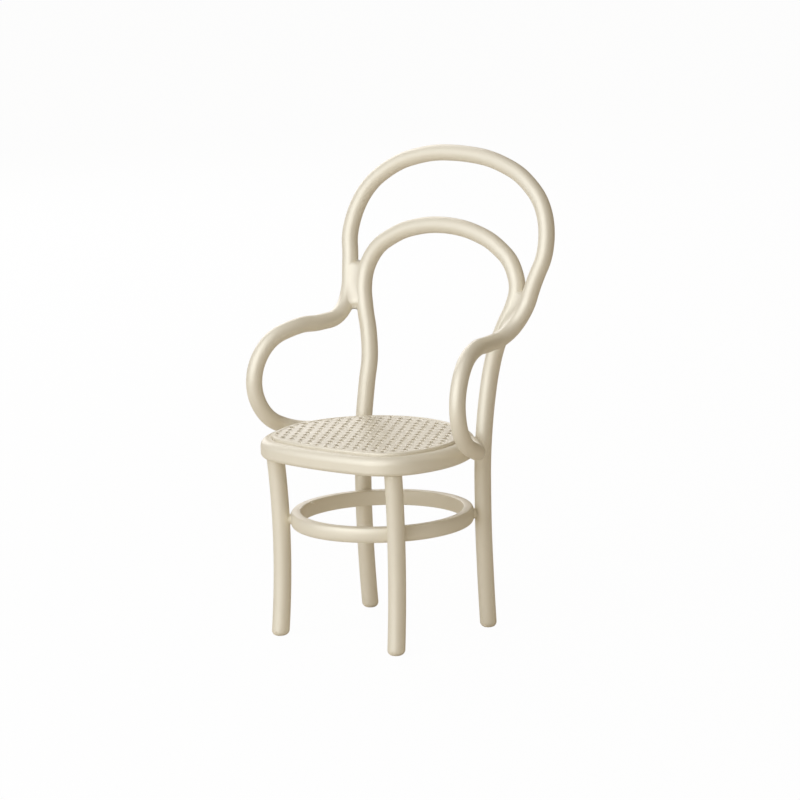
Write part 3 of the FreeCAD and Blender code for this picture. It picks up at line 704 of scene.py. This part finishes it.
def level_foot(points, line, tangents, rod):
    """Bring a tube's rings level near the floor and round their lower edge.

    A ring slides along the tangent until it is level, more so the nearer it
    is to the floor, and a ring lower than the rounding is drawn in to the
    quarter circle of the rounding.
    """
    height = line[:, 2]
    offset = points - line[:, None]
    share = np.clip(1 - height / (FOOT_LEVEL * FOOT_ROUND), 0, 1)[:, None, None]
    slope = tangents[:, None] / tangents[:, None, 2:]
    offset = offset - slope * offset[..., 2:] * np.where(np.abs(slope[..., :1]) < 1, share, 0)
    low = np.clip(FOOT_ROUND - height, 0, FOOT_ROUND)
    drawn = rod / 2 - FOOT_ROUND + np.sqrt(FOOT_ROUND ** 2 - low ** 2)
    return line[:, None] + offset * (drawn / (rod / 2))[:, None, None]


def domed(line, radius, dome):
    """Extend a line past both ends, with radii that close it by half ellipses.

    Each added ring lies the dome times the sine of a turn past the end, and
    its radius is the rod's times the cosine.
    """
    turn = quarter(DOME_RINGS)[1:-1]
    past, radii = np.sin(turn)[:, None] * dome, np.cos(turn) * radius
    first, last = unit(line[0] - line[1]), unit(line[-1] - line[-2])
    line_out = np.vstack([(line[0] + first * past)[::-1], line, line[-1] + last * past])
    return line_out, np.concatenate([radii[::-1], np.full(len(line), radius), radii])


def capped(points):
    """Points and faces of a tube with both ends closed by a fan."""
    rows, columns = points.shape[:2]
    flat = points.reshape(-1, 3)
    middles = np.stack([points[0].mean(0), points[-1].mean(0)])
    around = np.arange(columns)
    after = (around + 1) % columns
    start = np.stack([np.full(columns, len(flat)), after, around], 1)
    offset = (rows - 1) * columns
    end = np.stack([np.full(columns, len(flat) + 1), around + offset, after + offset], 1)
    return np.vstack([flat, middles]), [grid_faces(rows, columns), start, end]


def rod_line(stations, foot_at_start, foot_at_end):
    """Middles of a rod's rings: even, and closer over the rounding of a foot."""
    line = smooth_line(stations)
    total = lengths_along(line)[-1]
    wanted = np.linspace(0, total, int(total / RING_STEP) + 1)
    rounding = FOOT_ROUND * (1 - np.cos(quarter(FOOT_RINGS)))
    clear = FOOT_ROUND + RING_STEP / 2
    if foot_at_start:
        wanted = np.concatenate([rounding, wanted[wanted > clear]])
    if foot_at_end:
        wanted = np.concatenate([wanted[wanted < total - clear], total - rounding[::-1]])
    return at_lengths(line, wanted)


def standing_rod(stations, rod, foot_at_start):
    """Points of a rod that ends on a foot, and starts on one if asked."""
    line = rod_line(stations, foot_at_start, True)
    points, tangents = tube(line, rod / 2)
    return level_foot(points, line, tangents, rod)


def round_axis(centre, turn, reach, height):
    """Points round an upright axis: a row of reaches and heights at each turn."""
    turn = turn[:, None]
    across, behind = centre[0] + np.cos(turn) * reach, centre[1] + np.sin(turn) * reach
    return np.stack([across, behind, np.broadcast_to(height, across.shape)], 2)


def seat_arcs():
    """Centres, radii, first and last angles of the seat outline's four arcs."""
    corner, back = corner_centre(), SEAT_CENTRE
    front = np.array([0.0, SEAT_FRONT_EDGE + SEAT_FRONT, 0.0])
    to_back = math.atan2(corner[1] - back[1], corner[0] - back[0])
    to_front = math.atan2(corner[1] - front[1], corner[0] - front[0])
    left = corner * [-1, 1, 1]
    return (
        (back, SEAT_RADIUS, to_back, math.pi - to_back),
        (left, SEAT_CORNER, math.pi - to_back, math.pi - to_front),
        (front, SEAT_FRONT, -math.pi - to_front, to_front),
        (corner, SEAT_CORNER, to_front, to_back),
    )


def swept_outline(profile, step=0.6):
    """Carry a closed profile of (inset, height) round the seat outline.

    A point's reach from its arc's centre is the radius less the inset.
    """
    inset, height = np.array(profile).T
    rows = []
    for centre, radius, first, last in seat_arcs():
        if last < first:
            last += 2 * math.pi
        count = int(radius * (last - first) / step) + 1
        turn = np.linspace(first, last, count, endpoint=False)
        rows.append(round_axis(centre, turn, radius - inset, height))
    return np.concatenate(rows)


def rounded(corners, count=6):
    """A closed profile whose corners (place, height, rounding) are rounded.

    A corner's arc starts and ends one rounding before and after it, square
    corners only, and a point close beside each arc keeps the flats flat.
    """
    corners = np.array(corners, float)
    points, rounds = corners[:, :2], corners[:, 2]
    profile = []
    for i in range(len(points)):
        here, radius = points[i], rounds[i]
        before = unit(points[i - 1] - here)
        after = unit(points[(i + 1) % len(points)] - here)
        middle = here + (before + after) * radius
        turn = quarter(count)[:, None]
        arc = middle - after * radius * np.cos(turn) - before * radius * np.sin(turn)
        hold = HOLD_SHARE * max(radius, HOLD_LEAST)
        profile += [arc[0] + before * hold, *arc, arc[-1] + after * hold]
    return np.array(profile)


def collar(flip, degrees, centre, radius, gap, height, waist, flare, power=3.0, rings=15):
    """A collar of paint round a pin, from inside one piece to inside the other.

    Its radius is the waist plus the flare times the distance from the
    middle, as a share of the half length, to a power.
    """
    start = polar(centre, radius - COLLAR_BITE, degrees, height) * flip
    end = polar(centre, radius + gap + COLLAR_BITE, degrees, height) * flip
    share = np.linspace(-1, 1, rings)
    line = start + (end - start) * ((share + 1) / 2)[:, None]
    points, _ = tube(line, waist + flare * np.abs(share) ** power, COLLAR_SIDES)
    return capped(points)


# Materials, made once and shared


def chair_material(name):
    """Enamel of a slot: the cane's has painted shade down in its holes."""
    scene = bpy.context.scene
    # Only the cane's enamel gets the painted shade in its holes.
    painted_hole_shade = scene.armchair_cane.painted_hole_shade if name == "cane_enamel" else None
    made = bpy.data.materials.get(name)
    return made or enamel(name, scene.armchair_enamel, joint_places(), painted_hole_shade)


def joint_places():
    """Places, in metres, where the enamel pools: every joint of the chair."""
    right = np.array([
        (MEET + arm_at_meeting()) / 2,
        polar(RING_MIDDLE, RING_RADIUS, -FRONT_LEG_ANGLE, RING_HEIGHT),
        polar(RING_MIDDLE, RING_RADIUS, REAR_LEG_ANGLE, RING_HEIGHT),
        arm_end(),
        front_leg_top(),
        polar(SEAT_CENTRE, SEAT_RADIUS, REAR_SEAT_TURN, SEAT_HEIGHT),
    ])
    return [place for side in SIDES.values() for place in right * [side, 1, 1] * MM]


# Operators, one for each piece or group of like pieces


class ARMCHAIR_OT_rods(bpy.types.Operator):
    """Make the smooth rods of the back frame, the arm hoop and the front legs"""

    bl_idname = "armchair.rods"
    bl_label = "Rods"

    def execute(self, context):
        points = standing_rod(both_sides(back_stations()), BACK_ROD, True)
        make_piece("back_frame_rod", *capped(points), "cream_enamel", "back_frame")
        stations = both_sides(arm_stations())
        stations[:2, 2] += ARM_END_RISE["left"][::-1]
        stations[-2:, 2] += ARM_END_RISE["right"]
        line = rod_line(stations, False, False)
        points, _ = tube(*domed(line, ARM_ROD / 2, ARM_DOME))
        make_piece("arm_hoop_rod", *capped(points), "cream_enamel", "arm_hoop")
        for hand, side in SIDES.items():
            points = standing_rod(leg_stations() * [side, 1, 1], LEG_ROD, False)
            # Its top ring lies level, against the rim's underside.
            points[0, :, 2] = SEAT_HEIGHT - RIM_THICKNESS
            name = "front_leg_" + hand
            make_piece(name + "_rod", *capped(points), "cream_enamel", name)
        return {"FINISHED"}


class ARMCHAIR_OT_seat(bpy.types.Operator):
    """Make the rounded seat rim"""

    bl_idname = "armchair.seat"
    bl_label = "Seat rim"

    def execute(self, context):
        low, high = SEAT_HEIGHT - RIM_THICKNESS, SEAT_HEIGHT
        floor = high - RECESS_DEPTH
        corners = (
            (0, low, RIM_EDGE), (0, high, RIM_SHOULDER),
            (RIM_BORDER, high, RECESS_EDGE), (RIM_BORDER, floor, RECESS_FOOT),
            (RIM_WIDTH, floor, OPENING_EDGE), (RIM_WIDTH, low, OPENING_FOOT),
        )
        points = swept_outline(rounded(corners))
        make_loop("seat_rim_smooth", points, "cream_enamel", "seat_rim")
        return {"FINISHED"}


class ARMCHAIR_OT_ring(bpy.types.Operator):
    """Make the leg ring"""

    bl_idname = "armchair.ring"
    bl_label = "Leg ring"

    def execute(self, context):
        points = round_axis(RING_MIDDLE, circle(RING_SECTIONS), *ring_profile().T)
        make_loop("leg_ring_smooth", points, "cream_enamel", "leg_ring")
        return {"FINISHED"}


def ring_profile(count=18):
    """The ring's section: a bulged outer face, and an inner face with rounded edges.

    The outer face is a superellipse: radius and height follow the cosine and
    sine of a turn, each to the power 2 / power.
    """
    low, high = RING_HEIGHT - RING_THICKNESS / 2, RING_HEIGHT + RING_THICKNESS / 2
    turn = np.linspace(-math.pi / 2, math.pi / 2, count)
    power = 2 / RING_POWER
    radius = RING_RADIUS - RING_BULGE + RING_BULGE * np.cos(turn).clip(0) ** power
    height = (low + high) / 2 + (high - low) / 2 * np.sign(turn) * np.abs(np.sin(turn)) ** power
    turn, edge = quarter(RING_EDGE_POINTS), RING_INNER_ROUND
    inner = RING_RADIUS - RING_WIDTH + edge - edge * np.sin(turn)
    upper = np.stack([inner, high - edge + edge * np.cos(turn)], 1)
    lower = np.stack([inner, low + edge - edge * np.cos(turn)], 1)[::-1]
    return np.vstack([np.stack([radius, height], 1), upper, lower])


class ARMCHAIR_OT_cane(bpy.types.Operator):
    """Make the raised bead and the woven strands of the moulded cane"""

    bl_idname = "armchair.cane"
    bl_label = "Cane"

    def execute(self, context):
        outer = RIM_BORDER + PANEL_CLEARANCE - COVER
        inner = RIM_BORDER + PANEL_CLEARANCE + BEAD_WIDTH + COVER
        top = BEAD_TOP + COVER
        corners = (
            (outer, WEB_LOW, BEAD_FOOT), (outer, top, BEAD_ROUND),
            (inner, top, BEAD_ROUND), (inner, WEB_LOW, BEAD_FOOT),
        )
        make_loop("cane_bead", swept_outline(rounded(corners)), "cream_enamel")
        make_piece("cane_strands", *cane_strands(context.scene.armchair_cane), "cane_enamel")
        return {"FINISHED"}


def cane_strands(settings):
    """The strands of six-way cane: three sets of straight lines between the holes.

    In a set's own directions, along and across, its lines lie half a row off
    the holes. A strand's height is a half ellipse across it, and rises and
    falls with the cosine of its length over the pitch, so that it passes
    over one neighbour and under the next.
    """
    row = CANE_PITCH * math.sqrt(3) / 2
    inset = RIM_BORDER + PANEL_CLEARANCE + BEAD_WIDTH / 2
    edge = swept_outline([(inset, 0.0)])[:, 0, :2] - SEAT_CENTRE[:2]
    points, faces, used = [], [], 0
    for degrees, width, rise, wave in STRAND_SHARES:
        width *= settings.strand_width / MM
        rise *= settings.strand_height / MM
        wave *= settings.strand_wave / MM
        angle = math.radians(degrees)
        along = np.array([math.cos(angle), math.sin(angle)])
        aside = np.array([-along[1], along[0]])
        edge_along, edge_aside = edge @ along, edge @ aside
        after, step = np.roll(edge_aside, -1), np.roll(edge_along, -1) - edge_along
        for line in range(math.floor(edge_aside.min() / row), math.ceil(edge_aside.max() / row)):
            offset = (line + 0.5) * row
            crosses = (edge_aside - offset) * (after - offset) < 0
            if not crosses.any():
                continue
            share = ((offset - edge_aside) / np.where(crosses, after - edge_aside, 1))[crosses]
            ends = edge_along[crosses] + share * step[crosses]
            length = np.arange(ends.min(), ends.max(), CANE_PITCH / STRAND_STEPS)
            swell = wave * np.cos(2 * math.pi * (length / CANE_PITCH - line / 2 + STRAND_PHASE))
            middle = length[:, None] * along + offset * aside + SEAT_CENTRE[:2]
            body, body_faces = strand(middle, aside, width / 2, rise + swell)
            points.append(body)
            faces += [part + used for part in body_faces]
            used += len(body)
    return np.vstack(points), faces


def strand(middle, aside, half_width, rise):
    """One strand: a half ellipse across, on upright sides that start in the web."""
    turn = np.linspace(0, math.pi, STRAND_SIDES)
    across = np.concatenate([-np.cos(turn), [1.0, -1.0]]) * half_width
    bulge = np.concatenate([np.sin(turn), [0.0, 0.0]])
    depth = STRAND_LIFT + STRAND_DEPTH
    sunk = np.concatenate([np.zeros(STRAND_SIDES), [depth, depth]])
    flat = middle[:, None] + across[:, None] * aside
    height = CANE_TOP + bulge * rise[:, None] - sunk
    return capped(np.concatenate([flat, height[..., None]], 2))


class ARMCHAIR_OT_joints(bpy.types.Operator):
    """Make the paint that fills the joints, and the drips on the leg ring"""

    bl_idname = "armchair.joints"
    bl_label = "Paint at the joints"

    def execute(self, context):
        for hand in SIDES:
            for name, (points, faces) in joint_paint(hand):
                make_piece(name + "_" + hand, points, faces, "cream_enamel")
        for name, (turn, size) in DRIPS.items():
            make_piece("ring_drip_" + name, *ring_drip(turn, size), "cream_enamel")
        return {"FINISHED"}


def joint_paint(hand):
    """Names, points and faces of the paint at one side's joints."""
    flip, middle = np.array([SIDES[hand], 1, 1]), SEAT_HEIGHT - RIM_THICKNESS / 2
    ring = (RING_MIDDLE, RING_RADIUS, RING_GAP, RING_HEIGHT, RING_COLLAR, RING_FLARE)
    seat = (SEAT_CENTRE, SEAT_RADIUS, JOINT_GAP, middle, SEAT_COLLAR, SEAT_FLARE)
    yield "ring_paint_front", collar(flip, -FRONT_LEG_ANGLE, *ring)
    yield "ring_paint_rear", collar(flip, REAR_LEG_ANGLE, *ring)
    yield "seat_paint", collar(flip, REAR_SEAT_TURN, *seat)
    yield "hoop_paint", hoop_fill(flip, *FILL_ENDS[hand])


def hoop_fill(flip, low, high):
    """The paint that fills the gap between the two hoops, flush with both.

    Across a section, front and back are arcs of the fillet's radius that
    touch both rods: their centres lie the rod's and the fillet's radii away
    from both rods' middles. Past each touch two points follow the rod,
    turned on and drawn in by the tails. Towards its ends the paint thins to
    nothing, and it climbs the rods by the climb times the way across squared.
    """
    height = np.linspace(low, high, FILL_ROWS)
    back, arm = [middle_at(stations, height) for stations in (back_stations(), arm_stations())]
    middle, half = (back + arm) / 2, np.linalg.norm(arm - back, axis=1) / 2
    across = unit(arm - back)
    along = unit(np.gradient(middle, axis=0))
    aside = unit(np.cross(across, along))
    radius = (BACK_ROD + ARM_ROD) / 4
    away = np.sqrt(np.maximum((radius + FILL_FILLET) ** 2 - half ** 2, TINY))
    sweep = np.arctan2(half, away)[:, None] * np.linspace(0, 1, FILL_STEPS)
    place = [*(np.sin(sweep) * FILL_FILLET).T]
    thick = [*(away[:, None] - np.cos(sweep) * FILL_FILLET).T]
    for turn, drawn in FILL_TAILS:
        toward = np.arctan2(away, -half) - turn
        place.append(half + (radius - drawn) * np.cos(toward))
        thick.append((radius - drawn) * np.sin(toward))
    place, thick = np.stack(place + [half], 1), np.stack(thick + [half * 0], 1)
    place = np.concatenate([-place[:, :0:-1], place], 1)
    thick = np.concatenate([thick[:, :0:-1], thick], 1)
    share = np.linspace(-1, 1, FILL_ROWS)[:, None]
    thick = thick * np.sqrt(np.maximum(1 - share ** FILL_THIN_POWER, TINY))
    climb = share ** FILL_CLIMB_POWER * FILL_CLIMB * (place / half[:, None]) ** 2
    flat = middle[:, None] + across[:, None] * place[..., None] + along[:, None] * climb[..., None]
    lift = aside[:, None] * thick[..., None]
    return capped(np.concatenate([flat + lift, (flat - lift)[:, -2:0:-1]], 1) * flip)


def middle_at(stations, height):
    """A rod's middle at heights near where the hoops meet."""
    line = smooth_line(stations)
    level = np.abs(line[:, 2] - MEET[2]) < MEET_REACH
    line = line[level & (line[:, 1] > MEET[1] - BACK_ROD * MEET_AHEAD)]
    line = line[np.argsort(line[:, 2])]
    return np.stack([np.interp(height, line[:, 2], line[:, i]) for i in range(3)], 1)


def ring_drip(degrees, size):
    """A flat drop of paint on the ring's inner top edge: an ellipsoid along it."""
    long, wide, high = size
    angle = math.radians(degrees)
    away = np.array([math.cos(angle), math.sin(angle), 0.0])
    along = np.array([-away[1], away[0], 0.0])
    upright = np.array([0.0, 0.0, 1.0])
    reach, height = RING_RADIUS - RING_WIDTH + DRIP_INSET, RING_HIGH[2] - DRIP_DROP
    centre = polar(RING_MIDDLE, reach, degrees, height)
    turn = circle(DRIP_SIDES)
    climb = np.linspace(-math.pi / 2, math.pi / 2, DRIP_RINGS)[1:-1, None]
    points = centre + (np.sin(climb) * long)[..., None] * along
    points = points + (np.cos(climb) * np.cos(turn) * wide)[..., None] * away
    points = points + (np.cos(climb) * np.sin(turn) * high)[..., None] * upright
    return capped(points)


class ARMCHAIR_OT_stage(bpy.types.Operator):
    """Set up the floor, the lamps, the world and the camera"""

    bl_idname = "armchair.stage"
    bl_label = "Stage"

    def execute(self, context):
        settings = context.scene.armchair_stage
        make_floor(settings)
        make_world(context.scene, settings)
        axes = np.array(camera_axes(settings))
        lamps = (
            ("key_lamp", KEY_WAY @ axes, KEY_WIDTH, settings.key, KEY_TINT),
            ("front_lamp", FRONT_WAY @ axes, FRONT_WIDTH, settings.front, FRONT_TINT),
            ("top_lamp", TOP_WAY, TOP_WIDTH, settings.top, HIGH_TINT),
            ("rear_lamp", REAR_WAY @ axes, REAR_WIDTH, settings.rear, HIGH_TINT),
        )
        for name, direction, width, power, tint in lamps:
            make_lamp(name, unit(direction) * LAMP_REACH, width, power, tint)
        make_camera(context.scene, settings)
        return {"FINISHED"}


def camera_axes(settings):
    """Back, right and up of the camera before its roll."""
    turn, rise = settings.azimuth, settings.elevation
    level = math.cos(rise)
    back = np.array([math.sin(turn) * level, -math.cos(turn) * level, math.sin(rise)])
    right = np.array([math.cos(turn), math.sin(turn), 0.0])
    return back, right, np.cross(back, right)


def make_camera(scene, settings):
    """The camera, turned by its roll, at its distance from where it aims."""
    back, right, up = camera_axes(settings)
    aim = (AIM + right * AIM_RIGHT + up * AIM_UP) * MM
    level, tilt = math.cos(settings.roll), math.sin(settings.roll)
    across, upright = right * level + up * tilt, up * level - right * tilt
    data = bpy.data.cameras.new("camera")
    data.lens = settings.lens
    camera = bpy.data.objects.new("camera", data)
    columns = np.stack([across, upright, back, aim + back * settings.distance], 1)
    camera.matrix_world = Matrix([*columns.tolist(), [0, 0, 0, 1]])
    scene.collection.objects.link(camera)
    scene.camera = camera


def make_lamp(name, offset, width, power, tint):
    """A round lamp at an offset in metres from the chair's middle, which it faces."""
    middle = np.array([0, 0, OVERALL_HEIGHT / 2]) * MM
    data = bpy.data.lights.new(name, "AREA")
    data.color = tint
    data.shape = "DISK"
    data.size = width
    data.energy = power
    lamp = bpy.data.objects.new(name, data)
    bpy.context.scene.collection.objects.link(lamp)
    across = unit(np.cross([0.0, 1.0, 0.0], offset))
    columns = np.stack([across, unit(np.cross(offset, across)), unit(offset), middle + offset], 1)
    lamp.matrix_world = Matrix([*columns.tolist(), [0, 0, 0, 1]])


def make_floor(settings):
    """A wide pale floor that the camera sees nearly white, with a soft shadow.

    Light meets a matt floor of the colour that it throws back.
    """
    mesh = bpy.data.meshes.new("floor")
    corners = np.array([(-1, -1, 0), (1, -1, 0), (1, 1, 0), (-1, 1, 0)]) * FLOOR_HALF
    mesh.from_pydata(corners, [], [(0, 1, 2, 3)])
    floor = bpy.data.objects.new("floor", mesh)
    bpy.context.scene.collection.objects.link(floor)
    paint = Paint(bpy.data.materials.new("pale_floor"))
    seen = paint.node("LightPath").outputs["Is Camera Ray"]
    colour = paint.mix(seen, FLOOR_BOUNCE, tuple(settings.floor))
    matt = paint.node("BsdfDiffuse", None, {"Color": colour}).outputs[0]
    glow = paint.node("Emission", None, {"Color": WHITE, "Strength": 1.0}).outputs[0]
    paint.node("OutputMaterial", None, {"Surface": paint.for_camera(glow, matt, FLOOR_GLOW)})
    mesh.materials.append(paint.owner)


def make_world(scene, settings):
    """Plain light from all round; the camera sees white."""
    scene.world = bpy.data.worlds.new("studio")
    paint = Paint(scene.world)
    values = {"Color": (*WORLD_TINT, 1), "Strength": settings.world}
    light = paint.node("Background", None, values).outputs[0]
    white = paint.node("Background", None, {"Color": WHITE, "Strength": 1.0}).outputs[0]
    paint.node("OutputWorld", None, {"Surface": paint.for_camera(white, light)})


class ARMCHAIR_PT_panel(bpy.types.Panel):
    """The armchair's pieces and settings"""

    bl_idname = "ARMCHAIR_PT_panel"
    bl_label = "Miniature Armchair"
    bl_space_type = "VIEW_3D"
    bl_region_type = "UI"
    bl_category = "Armchair"

    def draw(self, context):
        for operator in OPERATORS:
            self.layout.operator(operator.bl_idname)
        for name, kind in SETTINGS.items():
            box = self.layout.box()
            for value in kind.__annotations__:
                box.prop(getattr(context.scene, name), value)


OPERATORS = (
    ARMCHAIR_OT_rods, ARMCHAIR_OT_seat, ARMCHAIR_OT_cane,
    ARMCHAIR_OT_ring, ARMCHAIR_OT_joints, ARMCHAIR_OT_stage,
)
SETTINGS = {
    "armchair_enamel": EnamelSettings,
    "armchair_cane": CaneSettings,
    "armchair_stage": StageSettings,
}
CLASSES = (*SETTINGS.values(), *OPERATORS, ARMCHAIR_PT_panel)


def register():
    for item in CLASSES:
        bpy.utils.register_class(item)
    for name, kind in SETTINGS.items():
        setattr(bpy.types.Scene, name, PointerProperty(type=kind))


def unregister():
    for name in SETTINGS:
        delattr(bpy.types.Scene, name)
    for item in CLASSES[::-1]:
        bpy.utils.unregister_class(item)


def paint_nodes():
    """Give the solids that stay in view the enamel of the rest."""
    slots = {part["node"]: part["material_slot"] for part in frame["record"]["subparts"]}
    for name, node in frame["nodes"].items():
        node.data.materials.clear()
        node.data.materials.append(chair_material(slots[name]))


def main():
    register()
    bpy.context.scene.view_settings.view_transform = "Standard"
    for operator in OPERATORS:
        group, name = operator.bl_idname.split(".")
        getattr(getattr(bpy.ops, group), name)()
    paint_nodes()


if __name__ == "__main__":
    main()
